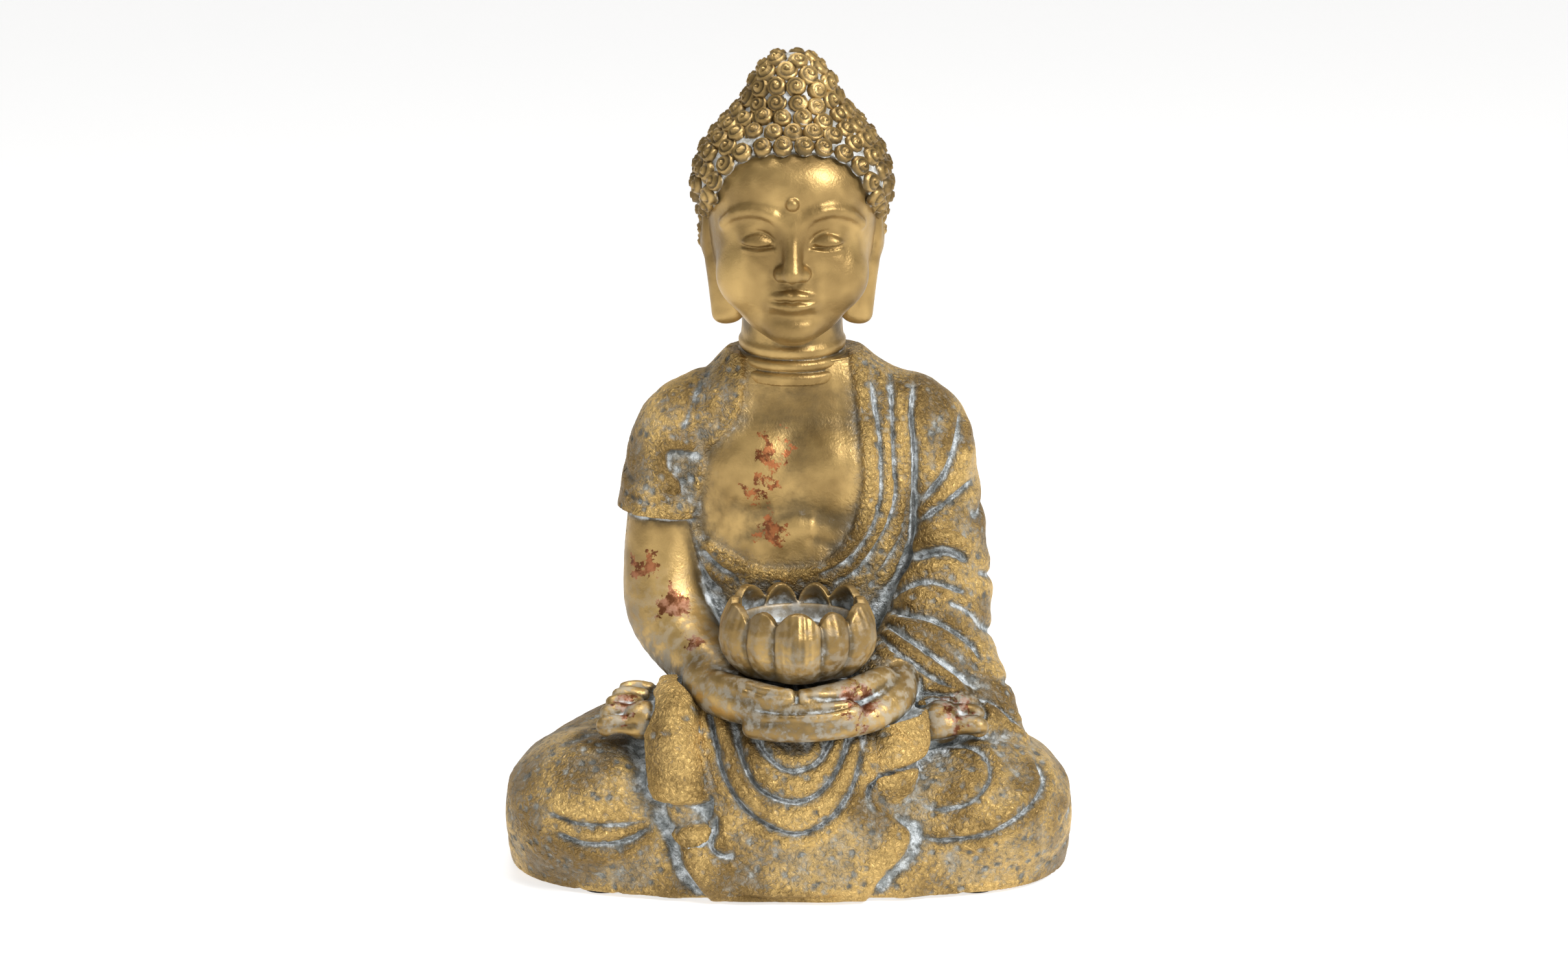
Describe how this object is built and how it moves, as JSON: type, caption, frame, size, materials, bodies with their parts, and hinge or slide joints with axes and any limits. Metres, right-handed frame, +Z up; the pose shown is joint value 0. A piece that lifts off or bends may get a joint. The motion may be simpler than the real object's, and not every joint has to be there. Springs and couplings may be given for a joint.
{
  "type": "seated buddha statue with lotus tea-light bowl",
  "caption": "Seated cross-legged devotional figure in antique gold finish, holding a lotus bowl with a round seat for a tea light.",
  "frame": {"origin": "middle of the footprint on the ground, under the statue", "axes": "+Z up to the crown of the head; the figure faces -Y; +X is the figure's left"},
  "size_m": [0.322, 0.2081, 0.46],
  "materials": {
    "gilded_casting": "antique gold paint over grey cement, grey-white wash in the hollows",
    "raw_cement": "unpainted cement, matt",
    "cement_board": "fibre-cement board, matt",
    "glass_tape": "resin-wetted glass tape",
    "zinc_steel": "zinc plated",
    "black_felt": "self-adhesive felt"
  },
  "bodies": {
    "root": {"body_front_shell": "gilded_casting", "body_rear_shell": "gilded_casting", "head_casting": "gilded_casting", "lotus_bowl": "gilded_casting", "parting_tape": "glass_tape", "neck_rod": "zinc_steel", "neck_grout": "raw_cement", "bowl_pin": "zinc_steel", "base_board": "cement_board", "screw_blocks": "raw_cement", "base_screws": "zinc_steel", "felt_pads": "black_felt"}
  },
  "joints": []
}
